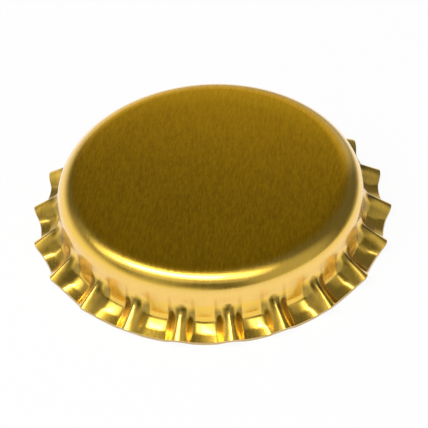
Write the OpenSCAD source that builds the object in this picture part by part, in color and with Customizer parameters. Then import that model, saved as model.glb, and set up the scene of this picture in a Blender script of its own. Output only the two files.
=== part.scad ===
// Crimp-on bottle cap, unused: a fluted sheet shell, face up, with a moulded sealing liner inside.
// Z points up, and the rim of the skirt stands on Z = 0. One crest of the flutes lies on the X axis.

/* [Shell] */
// Diameter across the crests of the flutes
outer_d = 32.1; // [31:0.1:33.5]
// Height from the rim to the top panel
height = 6; // [5.6:0.1:6.8]
// Inside diameter of the plain wall, which goes over the bottle's mouth
mouth_d = 26.75; // [26:0.05:27.4]
// Thickness of the sheet
sheet = 0.235; // [0.2:0.005:0.28]
// Outside radius of the rounded edge between panel and wall
edge_r = 2.1; // [1.6:0.1:2.3]

/* [Flutes] */
// Number of flutes around the skirt
flutes = 21; // [19:1:23]
// Height of a crest's tip above the rim
crest_lift = 1.1; // [0.9:0.05:1.2]
// Slope of the straight run of a crest below level, in degrees
crest_slope = 36; // [33:1:40]
// Radius of the hollow bend from the wall to the straight run of a crest
crest_bend_r = 1.6; // [1.4:0.1:2.2]
// Angle between a crest and the upright wall where its bend leaves the wall, in degrees
crest_meet = 26; // [22:1:32]
// Outside radius across a crest
crest_r = 0.42; // [0.36:0.01:0.5]
// Angle between a flank and the middle plane of its crest, in degrees
flank_angle = 45; // [38:1:50]
// Width of a ridge between the upright feet of its flanks
ridge_w = 2.4; // [2.1:0.05:2.7]
// Slope of the valley floors below level, in degrees
valley_slope = 33; // [28:1:36]
// Radius of the crease between the wall and a valley floor
crease_r = 0.5; // [0.3:0.05:0.7]
// Lean of the trimmed edge out from upright, in degrees
trim_lean = 35; // [30:1:40]

/* [Liner] */
// Gap between the rim of the sealing liner and the inside of the wall
liner_gap = 0.575; // [0.4:0.025:0.9]
// Thickness of the web in the middle of the liner
web_t = 0.25; // [0.15:0.05:0.4]
// Depth of the sealing bead below the panel
bead_t = 0.9; // [0.7:0.05:1.1]
// Width of the sealing bead
bead_w = 2.4; // [2:0.1:2.8]
// Depth of the inner lip below the panel
lip_t = 0.55; // [0.45:0.05:0.65]
// Width of the inner lip
lip_w = 0.8; // [0.6:0.1:1]
// Gap between the inner lip and the sealing bead
lip_gap = 0.5; // [0.3:0.1:0.8]

/* [Hidden] */
$fn = 128;

// How far a cut or a buried end runs past the surface that it has to clear
overrun = 0.15;

outer_r = outer_d / 2;
mouth_r = mouth_d / 2;
wall_r = mouth_r + sheet;
liner_r = mouth_r - liner_gap;

// The rounded edge: its inside and outside share one centre
edge_cr = wall_r - edge_r;
edge_cz = height - edge_r;

// The trimmed edge is a cone through the crest tips that meets Z = 0 at the foot of the valleys
rim_r = outer_r - crest_lift * tan(trim_lean);
trim_low_r = rim_r - overrun * tan(trim_lean);
trim_top_r = rim_r + height * tan(trim_lean);

// Height of a valley floor at radius r, for the surface that lies inset below the outside
function floor_z(r, inset) = (rim_r - r) * tan(valley_slope) + (sheet - inset) / cos(valley_slope);

// Centre of the crease between wall and valley floor, shared by the outside and the inside
crease_cr = wall_r + crease_r;
crease_cz = floor_z(crease_cr, 0) + crease_r / cos(valley_slope);

// A crest leaves the wall in a bend and meets its straight run at a slight kink, so that the two cross cleanly
run_kink = 10;
kink_slope = crest_slope + run_kink;
kink_r = wall_r + crest_bend_r * (cos(crest_meet) - sin(kink_slope));
crest_run = (outer_r - kink_r) / cos(crest_slope);
tip = [outer_r, crest_lift];
crest_out = [sin(crest_slope), cos(crest_slope)];
kink = tip + crest_run * [-cos(crest_slope), sin(crest_slope)];
bend_c = kink + crest_bend_r * [sin(kink_slope), cos(kink_slope)];

// Angles about the centre of the bend: where it starts inside the wall, and where it ends under the run
bend_lead = 15;
bend_from = 180 + crest_meet - bend_lead;
bend_to = 270 - crest_slope;

// Depth of a ridge below its crest, which buries its foot under the valley floor from the crease to the rim
crease_depth = (tip - [mouth_r, floor_z(mouth_r, sheet)]) * crest_out;
rim_depth = (tip - [rim_r, 0]) * crest_out;
ridge_depth = max(crease_depth, rim_depth) + overrun;

// Level that the space under the skirt is drawn down to, below the trimmed edge
base_z = -2 * overrun;

// Radial half-section of everything under the surface that lies inset below the outside
module under_section(inset) {
    side_r = wall_r - inset;
    apron_r = rim_r + (floor_z(rim_r, inset) - base_z) / tan(valley_slope);
    bend_r = crease_r + inset;
    foot = [crease_cr, crease_cz] - bend_r * [sin(valley_slope), cos(valley_slope)];
    // Plain wall and panel with the rounded edge
    translate([0, base_z])
        square([side_r, edge_cz - base_z]);
    square([edge_cr, height - inset]);
    translate([edge_cr, edge_cz])
        circle(r = edge_r - inset);
    // Valley floor
    polygon([
        [0, base_z],
        [apron_r, base_z],
        [side_r, floor_z(side_r, inset)],
        [0, floor_z(side_r, inset)]
    ]);
    // Crease between them
    difference() {
        polygon([
            [side_r - overrun, crease_cz],
            [side_r - overrun, floor_z(foot[0], inset) - overrun],
            [foot[0], floor_z(foot[0], inset) - overrun],
            foot,
            [crease_cr, crease_cz]
        ]);
        translate([crease_cr, crease_cz])
            circle(r = bend_r);
    }
}

// Cross-section of one ridge: a round crest at crest_x, sloping flanks, and upright feet towards +X
module ridge_section(inset, crest_x) {
    round_r = crest_r - inset;
    touch = round_r * [-sin(flank_angle), cos(flank_angle)];
    foot_y = ridge_w / 2 - inset;
    eave_x = touch[0] + (foot_y - touch[1]) / tan(flank_angle);
    foot_x = ridge_depth - crest_r;
    translate([crest_x + crest_r, 0]) {
        circle(r = round_r);
        polygon([
            touch,
            [eave_x, foot_y],
            [foot_x, foot_y],
            [foot_x, -foot_y],
            [eave_x, -foot_y],
            [touch[0], -touch[1]]
        ]);
    }
}

// One ridge of the skirt in the plane through the X axis: its bend out of the wall, then its straight run
module ridge(inset) {
    kink_back = crest_bend_r * sin(run_kink);
    run_to = crest_run - kink_back + 2 * overrun;
    translate([bend_c[0], 0, bend_c[1]])
        rotate([90, 0, 0]) {
            rotate([0, 0, bend_from])
                rotate_extrude(angle = bend_to - bend_from)
                    ridge_section(inset, crest_bend_r);
            rotate([90, 0, bend_to])
                translate([0, 0, -run_to])
                    linear_extrude(run_to + kink_back + 2 * overrun)
                        ridge_section(inset, crest_bend_r * cos(run_kink));
        }
}

// Everything under the surface that lies inset below the outside of the shell
module under_skin(inset) {
    rotate_extrude()
        under_section(inset);
    for (i = [0 : flutes - 1])
        rotate([0, 0, i * 360 / flutes])
            ridge(inset);
}

// Fluted shell, one piece of gold-lacquered sheet
module shell() {
    color("goldenrod")
        difference() {
            intersection() {
                under_skin(0);
                translate([0, 0, -overrun])
                    cylinder(h = height + overrun, r1 = trim_low_r, r2 = trim_top_r);
            }
            under_skin(sheet);
        }
}

// Half-section of a bead that hangs below the panel, with a half-round or rounded foot
module bead_section(from_r, width, depth) {
    round_r = min(width, depth) / 2;
    panel_z = height - sheet;
    translate([from_r, panel_z - depth + round_r])
        square([width, depth - round_r]);
    translate([from_r + round_r, panel_z - depth])
        square([width - 2 * round_r, depth]);
    for (x = [round_r, width - round_r])
        translate([from_r + x, panel_z - depth + round_r])
            circle(r = round_r);
}

// Sealing liner, moulded against the inside of the panel and its rounded edge
module liner() {
    bead_from = liner_r - bead_w;
    lip_from = bead_from - lip_gap - lip_w;
    color("gainsboro")
        rotate_extrude()
            intersection() {
                union() {
                    translate([0, height - sheet - web_t])
                        square([liner_r - bead_t / 2, web_t]);
                    bead_section(bead_from, bead_w, bead_t);
                    bead_section(lip_from, lip_w, lip_t);
                }
                under_section(sheet);
            }
}

shell();
liner();
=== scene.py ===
"""Looks of a gold, unused crimp-on bottle cap: its fluted shell, its sealing liner and a plain studio."""

import logging
import math
from dataclasses import dataclass, field
from enum import IntEnum

import bpy
import numpy as np
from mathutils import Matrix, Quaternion, Vector


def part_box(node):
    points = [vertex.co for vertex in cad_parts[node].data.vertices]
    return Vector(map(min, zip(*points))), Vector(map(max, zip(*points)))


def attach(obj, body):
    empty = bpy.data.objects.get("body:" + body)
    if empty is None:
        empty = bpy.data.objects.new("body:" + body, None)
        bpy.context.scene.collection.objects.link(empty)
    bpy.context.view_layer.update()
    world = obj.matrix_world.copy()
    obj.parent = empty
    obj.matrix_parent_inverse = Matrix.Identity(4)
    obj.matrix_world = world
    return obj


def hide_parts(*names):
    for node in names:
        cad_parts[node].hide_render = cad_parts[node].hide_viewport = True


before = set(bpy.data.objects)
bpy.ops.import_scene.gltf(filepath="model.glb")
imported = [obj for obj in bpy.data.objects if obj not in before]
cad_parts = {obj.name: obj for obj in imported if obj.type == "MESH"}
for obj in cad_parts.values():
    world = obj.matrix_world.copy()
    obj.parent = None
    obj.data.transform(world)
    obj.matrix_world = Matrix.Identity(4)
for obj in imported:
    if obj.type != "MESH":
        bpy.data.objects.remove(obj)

LOG = logging.getLogger("bottle_cap")
BODY = "root"
MM = 0.001
IMAGE_SIDE = 428
SENSOR_WIDTH = 36.0

# The middle of a noise's values, and the range that most of them lie in
NOISE_MIDDLE = 0.5
NOISE_RANGE = (0.25, 0.75)

# From a crest to the middle of a valley, as a share of a flute
HALF_FLUTE = 0.5

# Stretches of a section above its bends: the panel, the rounded edge and the wall
PLAIN_STRETCHES = 3

Color = tuple[float, float, float]
Bends = tuple[tuple[float, float], ...]
Outline = list[tuple[float, float]]
Socket = bpy.types.NodeSocket


class SheetFace(IntEnum):
    """The three kinds of surface on the stamped sheet, in the order of the shell's material slots."""

    OUTSIDE = 0
    CUT_EDGE = 1
    INSIDE = 2


@dataclass(frozen=True)
class Grain:
    """A noise in a finish, which may be drawn out along one direction of the part.

    Attributes:
        across: Cells a metre across the grain.
        along: Cells a metre along the grain, and up the part.
        layers: How many finer layers the noise has.
        unevenness: How strong each finer layer is, as a share of the one before.
        turn: Direction of the grain about Z, in radians from Y.
    """

    across: float
    along: float
    layers: float
    unevenness: float = 0.6
    turn: float = 0.0


class Recipe:
    """A material's or a world's node tree, filled node by node."""

    def __init__(self, owner: bpy.types.ID) -> None:
        """Empties the owner's node tree.

        Args:
            owner: The material or world that the nodes belong to.
        """
        owner.use_nodes = True
        self.tree = owner.node_tree
        self.tree.nodes.clear()

    def node(self, kind: str, inputs: dict | None = None, **settings: object) -> bpy.types.Node:
        """Adds one node.

        Args:
            kind: Blender's name of the node type.
            inputs: Values for its input sockets by name or number. A socket given as a value is linked.
            settings: Values for the node's own properties.

        Returns:
            The new node.
        """
        made = self.tree.nodes.new(kind)
        for name, value in settings.items():
            setattr(made, name, value)
        for name, value in (inputs or {}).items():
            if isinstance(value, Socket):
                self.tree.links.new(value, made.inputs[name])
            else:
                made.inputs[name].default_value = value
        return made

    def value(self, operation: str, *terms: float | Socket) -> Socket:
        """Adds a sum, product or the like of numbers and sockets.

        Args:
            operation: The name of the operation, such as MULTIPLY.
            terms: Its numbers or sockets, in order.

        Returns:
            The socket that holds the result.
        """
        return self.node("ShaderNodeMath", dict(enumerate(terms)), operation=operation).outputs[0]

    def product(self, first: Socket, second: Socket) -> Socket:
        """Multiplies two colours, or a colour by a number, and returns the socket that holds the result."""
        return self.node("ShaderNodeVectorMath", {0: first, 1: second}, operation="MULTIPLY").outputs[0]

    def spread(self, source: Socket, start: float, end: float, low: float, high: float) -> Socket:
        """Maps a socket's range onto another one, smoothly and without running past its ends.

        Args:
            source: The socket to map.
            start: The source's value that becomes low.
            end: The source's value that becomes high.
            low: The result at start.
            high: The result at end.

        Returns:
            The socket that holds the result.
        """
        ranges = {"Value": source, "From Min": start, "From Max": end, "To Min": low, "To Max": high}
        made = self.node("ShaderNodeMapRange", ranges, interpolation_type="SMOOTHSTEP", clamp=True)
        return made.outputs["Result"]

    def between(self, share: Socket, first: float | Socket, second: float | Socket) -> Socket:
        """Mixes two numbers by the share of the second, and returns the socket that holds the result."""
        return self.node("ShaderNodeMix", {0: share, 2: first, 3: second}, data_type="FLOAT").outputs[0]

    def blend(self, share: Socket, first: Color | Socket, second: Color | Socket) -> Socket:
        """Mixes two colours.

        Args:
            share: How much of the second colour there is.
            first: The first colour.
            second: The second colour.

        Returns:
            The socket that holds the mixed colour.
        """
        colors = [given if isinstance(given, Socket) else (*given, 1.0) for given in (first, second)]
        # Sockets 6 and 7 of a mix node take its colours, and output 2 gives the mixed one
        mixed = self.node("ShaderNodeMix", {0: share, 6: colors[0], 7: colors[1]}, data_type="RGBA")
        return mixed.outputs[2]

    def noise(self, grain: Grain) -> Socket:
        """Adds a noise that is drawn out along one direction of the part.

        Args:
            grain: The size and direction of the noise.

        Returns:
            The noise's value, from 0 to 1.
        """
        place = self.node("ShaderNodeTexCoord").outputs["Object"]
        turned = self.node("ShaderNodeMapping", {"Vector": place, "Rotation": (0.0, 0.0, -grain.turn)})
        cells = (grain.across, grain.along, grain.along)
        stretched = self.node("ShaderNodeMapping", {"Vector": turned.outputs[0], "Scale": cells})
        return self.node("ShaderNodeTexNoise", {
            "Vector": stretched.outputs[0],
            "Scale": 1.0,
            "Detail": grain.layers,
            "Roughness": grain.unevenness,
        }).outputs[0]

    def finish(self, shader: bpy.types.Node, kind: str = "ShaderNodeOutputMaterial") -> None:
        """Links a shader to the output of the tree."""
        self.node(kind, {"Surface": shader.outputs[0]})


@dataclass(frozen=True)
class PaintedShadeBand:
    """A band along each crest or beside it, darkened as painted shade: on the crests' tops, the flanks and
    the wall above them.

    Attributes:
        color: What the lacquer's colour is multiplied by, as painted shade.
        span: Shares of a flute from its crest at which the band starts, is full, begins to end and is gone.
        top: Heights at which it starts and is full, from above.
        foot: Heights at which it starts to come in and is full, from below.
        foot_share: How much of it there is below the foot.
    """

    color: Color
    span: tuple[float, float, float, float]
    top: tuple[float, float]
    foot: tuple[float, float]
    foot_share: float

    def paint_shade(self, recipe: Recipe, from_crest: Socket, height: Socket) -> Socket:
        """Adds the band's painted shade to a material.

        Args:
            recipe: The material's node tree.
            from_crest: The socket that holds the share of a flute from its crest.
            height: The socket that holds the height.

        Returns:
            The socket that holds the colour to multiply by.
        """
        start, full, ending, gone = self.span
        near = recipe.spread(from_crest, start, full, 0.0, 1.0)
        far = recipe.spread(from_crest, ending, gone, 1.0, 0.0)
        low = recipe.spread(height, *self.top, 0.0, 1.0)
        high = recipe.spread(height, *self.foot, self.foot_share, 1.0)
        across = recipe.value("MULTIPLY", near, far)
        share = recipe.value("MULTIPLY", across, recipe.value("MULTIPLY", low, high))
        return recipe.blend(share, (1.0, 1.0, 1.0), self.color)


@dataclass(frozen=True)
class GoldLacquer:
    """Clear gold lacquer over tinned sheet, with the sheet's rolling grain showing through it.

    Attributes:
        face_color: Colour of the panel, deeper than the sheet below it: painted shade.
        lower_sheet_color: Colour of the sheet below the panel, paler so that its highlights are whiter:
            painted light.
        lit_wall_color: Colour of the plain wall, paler still where it is lit: painted light.
        face_height: Height at which the panel's colour and coat start to change.
        drawn_height: Height at which they have changed to those of the sheet below the panel.
        wall_top: Heights at which the wall's colour starts and is full, from above.
        wall_foot: Heights at which it starts and is full, from below.
        grain: The sheet's rolling grain.
        grain_depth: How deep the grain is.
        grain_shade: How much the grain shades the panel and the drawn sheet.
        cloud: Wide, faint patches in the lacquer.
        cloud_shade: How much those patches lighten it.
        base_level: What the colour is multiplied by before the patches and the grain are added.
        roughness: Roughness from the low to the high values of the grain.
        skirt_height: Heights at which the skirt starts to be duller and is fully so.
        skirt_dulling: Roughness that the skirt adds.
        wall_dulling: Roughness that the wall adds.
        crown_r: Radius of the panel's slight crown, which only its reflections show.
        coat: Strength of the clear coat on the panel and below it.
        coat_roughness: Roughness of the clear coat.
        coat_ior: Index of refraction of the clear coat.
        painted_shade_bands: Bands of painted shade along the flutes.
    """

    face_color: Color = (0.93, 0.5, 0.004)
    lower_sheet_color: Color = (0.95, 0.6, 0.065)
    lit_wall_color: Color = (0.97, 0.63, 0.145)
    face_height: float = 5.98 * MM
    drawn_height: float = 5.7 * MM
    wall_top: tuple[float, float] = (4.9 * MM, 4.5 * MM)
    wall_foot: tuple[float, float] = (2.7 * MM, 3.3 * MM)
    grain: Grain = Grain(5200.0, 1100.0, 4.0, 0.8, math.radians(-8))
    grain_depth: float = 0.0018 * MM
    grain_shade: tuple[float, float] = (0.98, 0.24)
    cloud: Grain = Grain(120.0, 120.0, 2.0)
    cloud_shade: float = 0.1
    base_level: float = 0.95
    roughness: tuple[float, float] = (0.16, 0.23)
    skirt_height: tuple[float, float] = (3.4 * MM, 2.6 * MM)
    skirt_dulling: float = 0.05
    wall_dulling: float = 0.1
    crown_r: float = 320.0 * MM
    coat: tuple[float, float] = (0.2, 0.95)
    coat_roughness: float = 0.1
    coat_ior: float = 1.45
    # Painted shade on the flanks, on the wall beside the ridges and on the crests' tops
    painted_shade_bands: tuple[PaintedShadeBand, ...] = (
        PaintedShadeBand(
            (0.4, 0.41, 0.26), (0.1, 0.185, 0.27, 0.3125),
            (3.0 * MM, 2.2 * MM), (0.8 * MM, 1.8 * MM), 0.55),
        PaintedShadeBand(
            (0.84, 0.8, 0.62), (0.19, 0.25, 0.26, 0.32),
            (4.3 * MM, 3.0 * MM), (1.9 * MM, 2.3 * MM), 0.0),
        PaintedShadeBand(
            (0.45, 0.45, 0.3), (-0.2, -0.1, 0.09, 0.16),
            (3.0 * MM, 2.7 * MM), (1.7 * MM, 2.3 * MM), 0.0),
    )

    def material(self, flutes: int) -> bpy.types.Material:
        """Makes the material of the shell's outside.

        Args:
            flutes: Number of flutes around the skirt.

        Returns:
            The new material.
        """
        made = bpy.data.materials.new("gold_lacquer")
        recipe = Recipe(made)
        grain = recipe.noise(self.grain)
        cloud = recipe.noise(self.cloud)
        place = recipe.node("ShaderNodeTexCoord").outputs["Object"]
        east, north, height = recipe.node("ShaderNodeSeparateXYZ", {0: place}).outputs
        drawn = recipe.spread(height, self.face_height, self.drawn_height, 0.0, 1.0)
        below_edge = recipe.spread(height, *self.wall_top, 0.0, 1.0)
        above_skirt = recipe.spread(height, *self.wall_foot, 0.0, 1.0)
        wall = recipe.value("MULTIPLY", below_edge, above_skirt)

        # Colour by height, with a paler lit wall as painted light, shaded by the grain and by painted shade
        # bands
        # Painted shade and light: a deeper panel, a paler sheet below it and a paler lit wall
        sheet = recipe.blend(drawn, self.face_color, self.lower_sheet_color)
        coating = recipe.blend(wall, sheet, self.lit_wall_color)
        streak = recipe.value("SUBTRACT", grain, NOISE_MIDDLE)
        streaks = recipe.value("MULTIPLY", streak, recipe.between(drawn, *self.grain_shade))
        patches = recipe.value("MULTIPLY", cloud, self.cloud_shade)
        level = recipe.value("ADD", recipe.value("ADD", streaks, patches), self.base_level)
        toned = recipe.product(coating, level)
        turn = recipe.value("MULTIPLY", recipe.value("ARCTAN2", north, east), flutes / (2 * math.pi))
        from_crest = recipe.value("PINGPONG", turn, HALF_FLUTE)
        # Painted shade along the flutes
        for shade_band in self.painted_shade_bands:
            toned = recipe.product(toned, shade_band.paint_shade(recipe, from_crest, height))

        # The gloss follows the grain, and is duller on the skirt and on the wall
        skirt = recipe.spread(height, *self.skirt_height, 0.0, self.skirt_dulling)
        dulling = recipe.value("ADD", skirt, recipe.value("MULTIPLY", wall, self.wall_dulling))
        gloss = recipe.value("ADD", recipe.spread(grain, *NOISE_RANGE, *self.roughness), dulling)

        # The relief is the grain's, on a crown that falls with the square of the distance from the axis
        east_square = recipe.value("MULTIPLY", east, east)
        north_square = recipe.value("MULTIPLY", north, north)
        reach = recipe.value("ADD", east_square, north_square)
        crown = recipe.value("MULTIPLY", reach, -0.5 / self.crown_r)
        relief = recipe.value("ADD", recipe.value("MULTIPLY", grain, self.grain_depth), crown)
        bump = recipe.node("ShaderNodeBump", {"Height": relief, "Strength": 1.0, "Distance": 1.0})

        recipe.finish(recipe.node("ShaderNodeBsdfPrincipled", {
            "Base Color": toned,
            "Metallic": 1.0,
            "Roughness": gloss,
            "Normal": bump.outputs[0],
            "Coat Weight": recipe.spread(height, self.face_height, self.drawn_height, *self.coat),
            "Coat Roughness": self.coat_roughness,
            "Coat IOR": self.coat_ior,
        }))
        return made


@dataclass(frozen=True)
class InsideLacquer:
    """Thin food-safe lacquer on the inside of the sheet, paler and duller than the outside.

    Attributes:
        color: The lacquer's colour.
        shadow_color: Its colour where it lies thicker.
        roughness: Roughness from the thicker to the thinner places.
        cloud: The places' size.
    """

    color: Color = (0.86, 0.66, 0.3)
    shadow_color: Color = (0.76, 0.55, 0.22)
    roughness: tuple[float, float] = (0.26, 0.38)
    cloud: Grain = Grain(900.0, 300.0, 3.0)

    def material(self) -> bpy.types.Material:
        """Makes the material of the shell's inside.

        Returns:
            The new material.
        """
        made = bpy.data.materials.new("inside_lacquer")
        recipe = Recipe(made)
        cloud = recipe.noise(self.cloud)
        recipe.finish(recipe.node("ShaderNodeBsdfPrincipled", {
            "Base Color": recipe.blend(cloud, self.shadow_color, self.color),
            "Metallic": 1.0,
            "Roughness": recipe.spread(cloud, *NOISE_RANGE, *self.roughness),
        }))
        return made


@dataclass(frozen=True)
class BareEdge:
    """Sheared edge of the sheet, where the bare tinned steel shows.

    Attributes:
        color: The edge's colour.
        burr_color: Its colour in the marks of the shear.
        roughness: Its roughness.
        burr: Size of the marks.
    """

    color: Color = (0.72, 0.54, 0.26)
    burr_color: Color = (0.52, 0.36, 0.15)
    roughness: float = 0.3
    burr: Grain = Grain(3000.0, 3000.0, 2.0)

    def material(self) -> bpy.types.Material:
        """Makes the material of the cut edge.

        Returns:
            The new material.
        """
        made = bpy.data.materials.new("bare_edge")
        recipe = Recipe(made)
        burr = recipe.noise(self.burr)
        recipe.finish(recipe.node("ShaderNodeBsdfPrincipled", {
            "Base Color": recipe.blend(burr, self.burr_color, self.color),
            "Metallic": 1.0,
            "Roughness": self.roughness,
        }))
        return made


@dataclass(frozen=True)
class LinerCompound:
    """Soft, slightly waxy sealing compound, milky white.

    Attributes:
        color: The compound's colour.
        cloudy_color: Its colour in the cloudier places.
        roughness: Roughness from the cloudier to the clearer places.
        cloud: The places' size.
        cloud_range: The values of the cloud between which the roughness changes.
        pores: Size of the fine pores.
        pore_depth: How deep they are.
        pore_strength: How strongly they show.
        haze: How much light goes into the compound and comes out again.
        haze_depth: How far such light goes.
    """

    color: Color = (0.82, 0.82, 0.78)
    cloudy_color: Color = (0.74, 0.745, 0.71)
    roughness: tuple[float, float] = (0.34, 0.46)
    cloud: Grain = Grain(320.0, 320.0, 4.0)
    cloud_range: tuple[float, float] = (0.3, 0.7)
    pores: Grain = Grain(5000.0, 5000.0, 2.0)
    pore_depth: float = 0.02 * MM
    pore_strength: float = 0.2
    haze: float = 0.2
    haze_depth: float = 0.3 * MM

    def material(self) -> bpy.types.Material:
        """Makes the liner's material.

        Returns:
            The new material.
        """
        made = bpy.data.materials.new("liner_compound")
        recipe = Recipe(made)
        cloud = recipe.noise(self.cloud)
        bump = recipe.node("ShaderNodeBump", {
            "Height": recipe.noise(self.pores),
            "Strength": self.pore_strength,
            "Distance": self.pore_depth,
        })
        recipe.finish(recipe.node("ShaderNodeBsdfPrincipled", {
            "Base Color": recipe.blend(cloud, self.cloudy_color, self.color),
            "Roughness": recipe.spread(cloud, *self.cloud_range, *self.roughness),
            "Normal": bump.outputs[0],
            "Subsurface Weight": self.haze,
            "Subsurface Scale": self.haze_depth,
        }))
        return made


class SheetSection:
    """Half-section of the sheet's outside, followed from the panel's middle out and down to the rim."""

    def __init__(self, height: float) -> None:
        """Starts on the axis, heading straight out.

        Args:
            height: Height of the panel.
        """
        self.start = (0.0, height)
        self.stretches: list[tuple[float, float]] = []

    def straight(self, length: float) -> "SheetSection":
        """Adds a straight stretch and returns the section."""
        self.stretches.append((length, 0.0))
        return self

    def bend(self, radius: float, degrees: float) -> "SheetSection":
        """Adds an arc and returns the section.

        Args:
            radius: The arc's radius.
            degrees: How far it turns: down where positive, out where negative.

        Returns:
            The section itself.
        """
        turn = math.radians(degrees)
        self.stretches.append((radius * abs(turn), math.copysign(1.0 / radius, turn)))
        return self

    def length(self, count: int | None = None) -> float:
        """Length of the section's first stretches, or of all of them where no count is given."""
        return sum(length for length, _ in self.stretches[:count])

    def at(self, distances: np.ndarray) -> np.ndarray:
        """Finds points on the section.

        Args:
            distances: Distances along the section from the axis.

        Returns:
            One row of radius and height for each distance.
        """
        found = np.zeros((len(distances), 2))
        radius, height = self.start
        heading, passed = 0.0, 0.0
        for length, curve in self.stretches:
            here = np.clip(distances - passed, 0.0, length)
            ahead = distances >= passed
            steps = np.array([self._step(heading, curve, step) for step in here])
            found[ahead] = np.array([radius, height]) + steps[ahead]
            step_out, step_up = self._step(heading, curve, length)
            radius, height = radius + step_out, height + step_up
            heading, passed = heading + curve * length, passed + length
        return found

    @staticmethod
    def _step(heading: float, curve: float, length: float) -> tuple[float, float]:
        """Moves along one stretch.

        Args:
            heading: Angle below level at its start, in radians.
            curve: Its curvature, positive where it turns down.
            length: How far to go.

        Returns:
            The change of radius and of height.
        """
        if curve == 0.0:
            return length * math.cos(heading), -length * math.sin(heading)
        end = heading + curve * length
        return (math.sin(end) - math.sin(heading)) / curve, (math.cos(end) - math.cos(heading)) / curve


@dataclass
class FlutedShell:
    """The stamped sheet: flat panel, rounded edge, plain wall and a skirt of ridges and valleys.

    A bend is given by its radius and its turn out of the upright wall in degrees. Where a size of the
    ridges is a pair, the first value holds at the crease below the wall and the second at the rim.

    Attributes:
        height: Height of the panel.
        outer_r: Radius of the crests' tips.
        wall_r: Outside radius of the plain wall.
        sheet: Thickness of the sheet.
        edge_r: Outside radius of the rounded edge.
        flutes: Number of flutes around the skirt.
        crest_lift: Height of a crest's tip.
        crest_bends: Bends of a crest, from the wall down.
        rim_r: Radius of the rim in the middle of a valley.
        crease_bends: Bends of a valley, from the wall down.
        crease_lead: How many of these bends lie above the floor of the valley.
        ridge_half_w: Half the width of a ridge at its feet.
        flank_rise: Slope of the flanks beside the round crest.
        flank_swell: Radius of the flanks' swell.
        crest_round: Length over which a crest rounds off into its flanks.
        root_share: Rounding of a ridge's foot, as a share of the ridge's height.
        trough_share: How far a valley's floor curves up towards a ridge's foot, as a share of its height.
        edge_break: Size of the broken corners of the cut edge.
        edge_lean: How far the inside of the cut edge stands out past the outside.
        columns: Columns of the mesh on one flute.
        column_bias: How much closer together the columns stand on the crests.
        panel_rings: Rings of the mesh on the panel.
        edge_rings: Rings on the rounded edge.
        wall_rings: Rings on the wall and the top of the skirt.
        floor_rings: Rings on the rest of the skirt.
        sharp_angle: Angle in degrees from which an edge of the mesh is sharp.
        outside: Finish of the outside.
        cut_edge: Finish of the cut edge.
        inside: Finish of the inside.
    """

    height: float
    outer_r: float
    wall_r: float = 13.61 * MM
    sheet: float = 0.235 * MM
    edge_r: float = 2.1 * MM
    flutes: int = 21
    crest_lift: float = 1.1 * MM
    crest_bends: Bends = ((0.5 * MM, 24.0), (2.0 * MM, 30.0))
    rim_r: float = 15.3 * MM
    crease_bends: Bends = (
        (0.9 * MM, 20.0), (0.6 * MM, -8.0), (0.5 * MM, 37.0), (8.0 * MM, 5.0), (1.3 * MM, 15.0))
    crease_lead: int = 2
    ridge_half_w: tuple[float, float] = (1.12 * MM, 1.26 * MM)
    flank_rise: tuple[float, float] = (0.8, 0.65)
    flank_swell: float = 0.9 * MM
    crest_round: tuple[float, float] = (0.25 * MM, 0.34 * MM)
    root_share: tuple[float, float] = (0.12, 0.06)
    trough_share: tuple[float, float] = (0.06, 0.16)
    edge_break: float = 0.035 * MM
    edge_lean: float = 0.13 * MM
    columns: int = 30
    column_bias: float = 0.45
    panel_rings: int = 6
    edge_rings: int = 16
    wall_rings: int = 32
    floor_rings: int = 28
    sharp_angle: float = 38.0
    outside: GoldLacquer = field(default_factory=GoldLacquer)
    cut_edge: BareEdge = field(default_factory=BareEdge)
    inside: InsideLacquer = field(default_factory=InsideLacquer)

    @staticmethod
    def end_slope(bends: Bends) -> float:
        """Slope below level, in radians, of the straight run that follows some bends out of the wall."""
        return math.radians(90.0 - sum(turn for _, turn in bends))

    def section(self, bends: Bends, tip: tuple[float, float]) -> SheetSection:
        """Draws the half-section through a crest or a valley.

        Args:
            bends: Radius and turn in degrees of each bend below the plain wall, in order.
            tip: Radius and height at which the section ends.

        Returns:
            The section, with its wall and its last straight run as long as the tip needs.
        """
        heading, out, down = math.radians(90.0), 0.0, 0.0
        for radius, degrees in bends:
            after = heading - math.radians(degrees)
            swing = math.copysign(radius, degrees)
            out += swing * (math.sin(heading) - math.sin(after))
            down += swing * (math.cos(after) - math.cos(heading))
            heading = after
        run = (tip[0] - self.wall_r - out) / math.cos(heading)
        wall = self.height - self.edge_r - tip[1] - down - run * math.sin(heading)
        drawn = SheetSection(self.height).straight(self.wall_r - self.edge_r)
        drawn.bend(self.edge_r, 90.0).straight(wall)
        for radius, degrees in bends:
            drawn.bend(radius, -degrees)
        return drawn.straight(run)

    def stations(self, section: SheetSection, split: float) -> np.ndarray:
        """Spaces the outside's rings along a section.

        Args:
            section: The section through a crest or a valley.
            split: Distance along it at which the wall's rings end and the floor's begin.

        Returns:
            The rings' distances along the section.
        """
        panel_end = self.wall_r - self.edge_r
        edge_end = panel_end + self.edge_r * math.pi / 2
        ends = (0.0, panel_end, edge_end, split, section.length())
        counts = (self.panel_rings, self.edge_rings, self.wall_rings, self.floor_rings)
        spans = [np.linspace(a, b, n + 1)[1:] for a, b, n in zip(ends, ends[1:], counts)]
        return np.concatenate(spans)

    def column_angles(self) -> tuple[np.ndarray, np.ndarray]:
        """Spaces the columns around the cap, closer together on the crests.

        Returns:
            Each column's angle about the axis, and its angle from the nearest crest.
        """
        pitch = 2 * math.pi / self.flutes
        even = np.arange(self.columns) / self.columns - HALF_FLUTE
        offsets = pitch * (even - self.column_bias * np.sin(2 * math.pi * even) / (2 * math.pi))
        crests = pitch * np.arange(self.flutes)
        return (crests[:, None] + offsets[None, :]).ravel(), np.tile(offsets, self.flutes)

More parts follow.
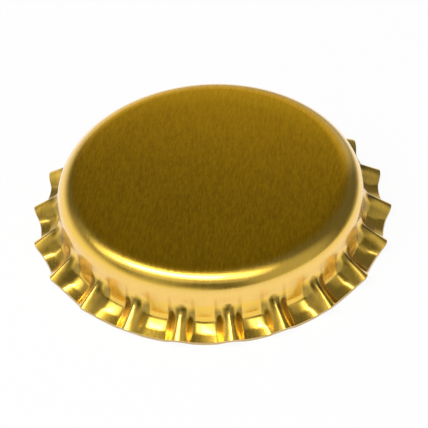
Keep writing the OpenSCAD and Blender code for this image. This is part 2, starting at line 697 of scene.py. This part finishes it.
    def lift(self, across: np.ndarray, down: np.ndarray) -> np.ndarray:
        """Shapes the wave across the skirt: arched ridges with round crests and feet, and curved floors.

        Args:
            across: Distance of each point from its crest's middle, one row for each ring.
            down: How far each ring lies on its way from the crease to the rim, from 0 to 1.

        Returns:
            The share of the way from valley to crest, from 0 to 1.
        """
        ends = (self.ridge_half_w, self.flank_rise, self.crest_round, self.root_share, self.trough_share)
        half_w, rise, crest, root, trough = (a + down * (b - a) for a, b in ends)
        middle = np.abs(across).max(axis=1, keepdims=True)

        def drop(offset: np.ndarray) -> np.ndarray:
            """Fall of the flank at an offset from the crest's middle."""
            return rise * (np.hypot(offset, crest) - crest) + offset ** 2 / (2 * self.flank_swell)

        def wave(offset: np.ndarray) -> np.ndarray:
            """Joins the arch of the ridge and the floor of the valley with a rounded foot between them.

            Args:
                offset: Distances from the crest's middle.

            Returns:
                The share of the ridge's height, not yet set to run from 0 to 1.
            """
            arch = 1.0 - drop(offset) / drop(half_w)
            bed = trough * ((middle - np.abs(offset)) / (middle - half_w)) ** 2
            return (arch + bed + np.hypot(arch - bed, 2 * root)) / 2

        lowest = wave(middle)
        return (wave(across) - lowest) / (wave(np.zeros_like(lowest)) - lowest)

    def outside_rings(self) -> np.ndarray:
        """Finds the points of the shell's outside.

        Returns:
            An array of rings, from the panel's middle to the rim, by columns by coordinates.
        """
        rim_slope = self.end_slope(self.crease_bends)
        rim_z = self.sheet * math.cos(rim_slope) + self.edge_break * math.sin(rim_slope)
        tip = (self.outer_r, self.crest_lift)
        crest = self.section(self.crest_bends, tip)
        valley = self.section(self.crease_bends, (self.rim_r, rim_z))
        crease_at = valley.length(PLAIN_STRETCHES + self.crease_lead)
        crest_slope = self.end_slope(self.crest_bends)
        to_tip = np.array(tip) - valley.at(np.array([crease_at]))[0]
        crest_at = crest.length() - to_tip @ np.array([math.cos(crest_slope), -math.sin(crest_slope)])
        low = valley.at(self.stations(valley, crease_at))
        high = crest.at(self.stations(crest, crest_at))
        angles, offsets = self.column_angles()
        down = np.concatenate([
            np.zeros(self.panel_rings + self.edge_rings + self.wall_rings),
            np.linspace(0.0, 1.0, self.floor_rings + 1)[1:],
        ])
        across = (low[:, :1] + high[:, :1]) / 2 * offsets[None, :]
        share = self.lift(across, down[:, None])[..., None]
        flat = low[:, None, :] + share * (high - low)[:, None, :]
        radius, height = flat[..., 0], flat[..., 1]
        return np.stack([radius * np.cos(angles), radius * np.sin(angles), height], axis=-1)

    def build(self) -> bpy.types.Object:
        """Builds the sheet with its outside, cut edge and inside.

        Returns:
            The shell's object.
        """
        outer = self.outside_rings()
        around = np.roll(outer, -1, axis=1) - np.roll(outer, 1, axis=1)
        normals = np.cross(np.gradient(outer, axis=0), around)
        normals /= np.linalg.norm(normals, axis=-1, keepdims=True)
        ahead = outer[-1] - outer[-2]
        ahead /= np.linalg.norm(ahead, axis=-1, keepdims=True)
        rim, rim_normal = outer[-1], normals[-1]
        edge = np.stack([
            rim + self.edge_break * (ahead - rim_normal),
            rim + self.edge_lean * ahead - (self.sheet - self.edge_break) * rim_normal,
        ])
        # The inside runs back from the rim under every second ring of the outside
        back = np.arange(len(outer) - 1, -1, -2)
        inner = outer[back] - self.sheet * normals[back]
        bands = np.repeat([SheetFace.OUTSIDE, SheetFace.CUT_EDGE, SheetFace.INSIDE],
                          [len(outer) - 1, len(edge) + 1, len(inner) - 1])
        rings = np.concatenate([outer, edge, inner])
        shell = ring_mesh("cap_shell", rings, self.height, self.height - self.sheet)
        self.dress(shell, bands)
        return shell

    def dress(self, shell: bpy.types.Object, bands: np.ndarray) -> None:
        """Gives the shell its three finishes.

        Args:
            shell: The shell's object.
            bands: The kind of surface between each two rings, from the panel's middle on.
        """
        for made in (self.outside.material(self.flutes), self.cut_edge.material(), self.inside.material()):
            shell.data.materials.append(made)
        columns = self.columns * self.flutes
        kinds = np.concatenate([
            np.repeat(bands, columns),
            np.full(columns, SheetFace.OUTSIDE),
            np.full(columns, SheetFace.INSIDE),
        ])
        shell.data.polygons.foreach_set("material_index", kinds.astype(np.int32))
        shell.data.set_sharp_from_angle(angle=math.radians(self.sharp_angle))


@dataclass
class SealingLiner:
    """The moulded liner: a thin web, a sealing bead under the rounded edge and a low lip inside it.

    Attributes:
        panel_z: Height of the panel's inside.
        edge_center: Radius and height of the centre of the rounded edge.
        edge_r: Inside radius of the rounded edge.
        liner_r: Radius of the liner's rim.
        web_t: Thickness of the web.
        bead_t: Depth of the sealing bead below the panel.
        bead_w: Width of the sealing bead.
        bead_start: Angle at which the bead's rounding leaves the rim, in degrees from straight out.
        seat_margin: Angle by which the liner's top stops short of its rim on the rounded edge, in degrees.
        lip_t: Depth of the lip below the panel.
        lip_w: Width of the lip.
        lip_gap: Gap between the lip and the bead.
        top_rings: Radii of the mesh's rings on the top, as shares of the flat part's radius.
        web_rings: Radii of the rings on the web, as shares of the lip's inner radius.
        arc_steps: Steps of the mesh in each arc.
        columns: Columns of the mesh.
        sharp_angle: Angle in degrees from which an edge of the mesh is sharp.
        compound: The liner's finish.
    """

    panel_z: float
    edge_center: tuple[float, float]
    edge_r: float
    liner_r: float = 12.8 * MM
    web_t: float = 0.25 * MM
    bead_t: float = 0.9 * MM
    bead_w: float = 2.4 * MM
    bead_start: float = -9.0
    seat_margin: float = 0.4
    lip_t: float = 0.55 * MM
    lip_w: float = 0.8 * MM
    lip_gap: float = 0.5 * MM
    top_rings: tuple[float, ...] = (0.25, 0.6)
    web_rings: tuple[float, ...] = (0.85, 0.5, 0.2)
    arc_steps: int = 10
    columns: int = 240
    sharp_angle: float = 50.0
    compound: LinerCompound = field(default_factory=LinerCompound)

    def arc(self, center: tuple[float, float], radius: float, start: float, end: float) -> Outline:
        """Draws an arc of the half-section.

        Args:
            center: Radius and height of its centre.
            radius: Its radius.
            start: Angle at which it starts, in degrees from straight out.
            end: Angle at which it ends.

        Returns:
            The arc's points.
        """
        turns = np.radians(np.linspace(start, end, self.arc_steps + 1))
        return [(center[0] + radius * math.cos(a), center[1] + radius * math.sin(a)) for a in turns]

    def hanging_bead(self, from_r: float, width: float, depth: float, outer_start: float) -> Outline:
        """Draws a bead's underside from its outer foot to its inner one.

        Args:
            from_r: Radius of its inner side.
            width: Its width.
            depth: Its depth below the panel.
            outer_start: Angle at which its outer rounding starts, in degrees from straight out.

        Returns:
            The bead's points.
        """
        rounding = min(width, depth) / 2
        level = self.panel_z - depth + rounding
        outer = self.arc((from_r + width - rounding, level), rounding, outer_start, -90.0)
        inner = self.arc((from_r + rounding, level), rounding, -90.0, -180.0)
        return outer + inner

    def outline(self) -> Outline:
        """Draws the liner's half-section from the panel's middle, over its rim, back to the axis below.

        Returns:
            Its points as radius and height.
        """
        web_z = self.panel_z - self.web_t
        bead_from = self.liner_r - self.bead_w
        lip_from = bead_from - self.lip_gap - self.lip_w
        meet = math.degrees(math.acos((self.liner_r - self.edge_center[0]) / self.edge_r))
        top = [(share * self.edge_center[0], self.panel_z) for share in self.top_rings]
        top += self.arc(self.edge_center, self.edge_r, 90.0, meet + self.seat_margin)
        bead = self.hanging_bead(bead_from, self.bead_w, self.bead_t, self.bead_start)
        lip = self.hanging_bead(lip_from, self.lip_w, self.lip_t, 0.0)
        groove = [(bead_from, web_z), (lip_from + self.lip_w, web_z)]
        web = [(lip_from, web_z)] + [(share * lip_from, web_z) for share in self.web_rings]
        return top + bead + groove + lip + web

    def build(self) -> bpy.types.Object:
        """Turns the half-section about the axis and gives it its finish.

        Returns:
            The liner's object.
        """
        outline = np.array(self.outline())
        angles = 2 * math.pi * np.arange(self.columns) / self.columns
        rings = np.stack([
            outline[:, :1] * np.cos(angles),
            outline[:, :1] * np.sin(angles),
            np.repeat(outline[:, 1:], self.columns, axis=1),
        ], axis=-1)
        liner = ring_mesh("sealing_liner", rings, self.panel_z, self.panel_z - self.web_t)
        liner.data.materials.append(self.compound.material())
        liner.data.set_sharp_from_angle(angle=math.radians(self.sharp_angle))
        return liner


def ring_mesh(name: str, rings: np.ndarray, first_z: float, last_z: float) -> bpy.types.Object:
    """Skins a stack of closed rings and caps both ends with a point on the axis.

    Args:
        name: The object's name.
        rings: Array of rings by columns by coordinates.
        first_z: Height of the point that closes the first ring.
        last_z: Height of the point that closes the last ring.

    Returns:
        The new object, smooth shaded.

    Raises:
        ValueError: A ring holds a point that is not finite.
    """
    if not np.isfinite(rings).all():
        raise ValueError(f"{name} has points that are not finite")
    count, columns, _ = rings.shape
    first, last = count * columns, count * columns + 1
    column = np.arange(columns)
    beside = np.roll(column, -1)
    base = columns * np.arange(count - 1)[:, None]
    below = base + columns
    skins = np.stack([base + column, below + column, below + beside, base + beside], axis=-1)
    end = columns * (count - 1)
    caps = [(first, int(a), int(b)) for a, b in zip(column, beside)]
    caps += [(last, int(b), int(a)) for a, b in zip(column + end, beside + end)]
    points = np.concatenate([rings.reshape(-1, 3), [[0.0, 0.0, first_z], [0.0, 0.0, last_z]]])
    mesh = bpy.data.meshes.new(name)
    mesh.from_pydata(points.tolist(), [], skins.reshape(-1, 4).tolist() + caps)
    mesh.shade_smooth()
    made = bpy.data.objects.new(name, mesh)
    bpy.context.scene.collection.objects.link(made)
    return made


def toward(turn: float, rise: float) -> Vector:
    """Finds a direction from the cap.

    Args:
        turn: Angle about Z from the viewer's side, to the right, in degrees.
        rise: Angle above level, in degrees.

    Returns:
        The direction, of length 1.
    """
    flat = math.cos(math.radians(rise))
    side = math.radians(turn - 90.0)
    return Vector((flat * math.cos(side), flat * math.sin(side), math.sin(math.radians(rise))))


@dataclass(frozen=True)
class Softbox:
    """A wide rectangular lamp that faces the cap.

    Attributes:
        name: The lamp's name.
        size: Its width and height.
        turn: Angle about Z from the viewer's side, to the right, in degrees.
        rise: Angle above level, in degrees.
        distance: How far from the cap it hangs.
        slide: How far it is moved from there along its width, to the right.
        radiance: How bright its face is.
    """

    name: str
    size: tuple[float, float]
    turn: float
    rise: float
    distance: float
    slide: float
    radiance: float

    def hang(self) -> None:
        """Hangs the lamp in its place, out of the camera's sight."""
        lamp = bpy.data.lights.new(self.name, "AREA")
        lamp.shape = "RECTANGLE"
        lamp.size, lamp.size_y = self.size
        lamp.energy = math.pi * self.size[0] * self.size[1] * self.radiance
        hung = bpy.data.objects.new(self.name, lamp)
        facing = toward(self.turn, self.rise)
        hung.location = facing * self.distance + toward(self.turn + 90.0, 0.0) * self.slide
        hung.rotation_euler = facing.to_track_quat("Z", "Y").to_euler()
        hung.visible_camera = False
        bpy.context.scene.collection.objects.link(hung)


@dataclass(frozen=True)
class Glow:
    """A soft round patch of light on the walls of the room.

    Attributes:
        turn: Angle of its middle about Z from the viewer's side, to the right, in degrees.
        rise: Angle of its middle above level, in degrees.
        inner: Angle from its middle up to which it is full, in degrees.
        outer: Angle from its middle at which it is gone, in degrees.
        level: How bright it is where it is full.
    """

    turn: float
    rise: float
    inner: float
    outer: float
    level: float

    def strength(self, recipe: Recipe, place: Socket) -> Socket:
        """Adds the patch to the room.

        Args:
            recipe: The room's node tree.
            place: The socket that holds the direction.

        Returns:
            The socket that holds the patch's strength in that direction.
        """
        axis = toward(self.turn, self.rise)
        facing = recipe.node("ShaderNodeVectorMath", {0: place, 1: axis}, operation="DOT_PRODUCT")
        gone, full = (math.cos(math.radians(angle)) for angle in (self.outer, self.inner))
        return recipe.spread(facing.outputs["Value"], gone, full, 0.0, self.level)


@dataclass
class Studio:
    """White table, softboxes over the viewer's left shoulder, a dim room with soft glows, and the camera.

    Attributes:
        floor_side: Side of the table.
        floor_color: Colour of the table where light falls on it.
        floor_glow: How white the table is of itself, to the camera and in reflections.
        floor_shade: How bright its reflection is far to the right and the back.
        shade_from: The way right and the way back, added up, at which it starts to dim and is dimmest.
        room_level: How bright the room is all round.
        horizon_level: How much brighter it is at the level of the table, on the left.
        horizon_fade: Heights, as sines, at which that starts to fade and is gone.
        horizon_sides: The way to the right, as cosines, at which it comes in and is full.
        glows: Patches of light on the walls of the room.
        lamps: The softboxes.
        view_turn: The camera's angle about Z, to the right, in degrees.
        view_rise: The camera's angle above level, in degrees.
        view_distance: The camera's distance from the origin.
        view_roll: The camera's roll, in degrees.
        focal_px: The camera's focal length, in pixels of the picture.
        aim: The point that the camera looks at.
    """

    floor_side: float = 4.0
    floor_color: Color = (0.9, 0.9, 0.9)
    floor_glow: tuple[float, float] = (0.93, 0.9)
    floor_shade: float = 0.3
    shade_from: tuple[float, float] = (34.0 * MM, 70.0 * MM)
    room_level: float = 0.16
    horizon_level: float = 0.85
    horizon_fade: tuple[float, float] = (0.0, 0.36)
    horizon_sides: tuple[float, float] = (0.15, -0.35)
    glows: tuple[Glow, ...] = (
        Glow(171.0, 10.0, 20.0, 34.5, 0.5),
        Glow(-95.0, 24.0, 8.0, 34.0, 0.2),
        Glow(-42.0, 31.0, 8.0, 26.0, 0.32),
        Glow(54.0, 18.0, 14.0, 42.0, 0.42),
    )
    lamps: tuple[Softbox, ...] = (
        Softbox("hot_softbox", (0.46, 0.11), -22.0, 62.5, 0.5, -0.1, 7.5),
        Softbox("strip_softbox", (0.8, 0.14), -22.0, 62.0, 0.5, -0.08, 2.0),
        Softbox("long_softbox", (1.28, 0.2), -22.0, 61.0, 0.5, -0.15, 0.8),
        Softbox("wide_softbox", (1.4, 0.56), -22.0, 59.0, 0.6, -0.2, 0.35),
    )
    view_turn: float = 0.43
    view_rise: float = 42.842
    view_distance: float = 338.76 * MM
    view_roll: float = -3.518
    focal_px: float = 3784.0
    aim: tuple[float, float, float] = (0.2 * MM, 0.0, 1.235 * MM)

    def build(self) -> None:
        """Sets up the floor, the light and the camera."""
        self.lay_floor()
        self.light_room()
        for lamp in self.lamps:
            lamp.hang()
        self.place_camera()

    def lay_floor(self) -> None:
        """Lays a white table that keeps the cap's shadow and reflects dimmer to the right and back."""
        half = self.floor_side / 2
        corners = [(-half, -half, 0.0), (half, -half, 0.0), (half, half, 0.0), (-half, half, 0.0)]
        mesh = bpy.data.meshes.new("table_top")
        mesh.from_pydata(corners, [], [(0, 1, 2, 3)])
        floor = bpy.data.objects.new("table_top", mesh)
        bpy.context.scene.collection.objects.link(floor)
        made = bpy.data.materials.new("table_white")
        recipe = Recipe(made)
        rays = recipe.node("ShaderNodeLightPath").outputs
        seen = recipe.value("MULTIPLY", rays["Is Camera Ray"], self.floor_glow[0])
        bounced = recipe.value("MAXIMUM", rays["Is Glossy Ray"], rays["Is Transmission Ray"])
        mirrored = recipe.value("MULTIPLY", bounced, self.floor_glow[1])
        matt = recipe.node("ShaderNodeBsdfDiffuse", {"Color": (*self.floor_color, 1.0)})
        place = recipe.node("ShaderNodeTexCoord").outputs["Object"]
        right, back, _ = recipe.node("ShaderNodeSeparateXYZ", {0: place}).outputs
        away = recipe.value("ADD", right, back)
        shaded = recipe.spread(away, *self.shade_from, 1.0, self.floor_shade)
        white = recipe.node("ShaderNodeEmission", {"Strength": recipe.between(bounced, 1.0, shaded)})
        share = recipe.value("MAXIMUM", seen, mirrored)
        layers = {0: share, 1: matt.outputs[0], 2: white.outputs[0]}
        recipe.finish(recipe.node("ShaderNodeMixShader", layers))
        mesh.materials.append(made)

    def light_room(self) -> None:
        """Fills the room dimly, brighter low on the left and in the glows, and white to the camera."""
        world = bpy.data.worlds.new("room")
        bpy.context.scene.world = world
        recipe = Recipe(world)
        place = recipe.node("ShaderNodeTexCoord").outputs["Generated"]
        right, _, rise = recipe.node("ShaderNodeSeparateXYZ", {0: place}).outputs
        low = recipe.spread(rise, *self.horizon_fade, self.horizon_level, 0.0)
        level = recipe.value("MULTIPLY", low, recipe.spread(right, *self.horizon_sides, 0.0, 1.0))
        for glow in self.glows:
            level = recipe.value("ADD", level, glow.strength(recipe, place))
        level = recipe.value("ADD", level, self.room_level)
        seen = recipe.node("ShaderNodeLightPath").outputs["Is Camera Ray"]
        strength = recipe.between(seen, level, 1.0)
        recipe.finish(recipe.node("ShaderNodeBackground", {"Strength": strength}), "ShaderNodeOutputWorld")

    def place_camera(self) -> None:
        """Sets the camera at the photograph's angle, distance and roll."""
        lens = bpy.data.cameras.new("camera")
        lens.sensor_fit = "HORIZONTAL"
        lens.sensor_width = SENSOR_WIDTH
        lens.lens = self.focal_px / IMAGE_SIDE * SENSOR_WIDTH
        camera = bpy.data.objects.new("camera", lens)
        camera.location = toward(self.view_turn, self.view_rise) * self.view_distance
        level = (camera.location - Vector(self.aim)).to_track_quat("Z", "Y")
        camera.rotation_mode = "QUATERNION"
        camera.rotation_quaternion = level @ Quaternion((0.0, 0.0, 1.0), math.radians(self.view_roll))
        bpy.context.scene.collection.objects.link(camera)
        bpy.context.scene.camera = camera


def stand_in(piece: bpy.types.Object, node: str) -> None:
    """Puts a dressed piece in the place of a CAD node.

    Args:
        piece: The dressed piece.
        node: The CAD node that it stands for.
    """
    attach(piece, BODY)
    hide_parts(node)
    LOG.info("%s: %d faces", piece.name, len(piece.data.polygons))


def main() -> None:
    """Builds the shell, the liner and the studio."""
    logging.basicConfig(level=logging.INFO, format="%(name)s: %(message)s")
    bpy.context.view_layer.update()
    _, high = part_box("shell")
    shell = FlutedShell(height=high.z, outer_r=high.x)
    stand_in(shell.build(), "shell")
    edge_center = (shell.wall_r - shell.edge_r, shell.height - shell.edge_r)
    liner = SealingLiner(shell.height - shell.sheet, edge_center, shell.edge_r - shell.sheet)
    stand_in(liner.build(), "liner")
    Studio().build()
    bpy.context.scene.view_settings.view_transform = "Standard"


if __name__ == "__main__":
    main()
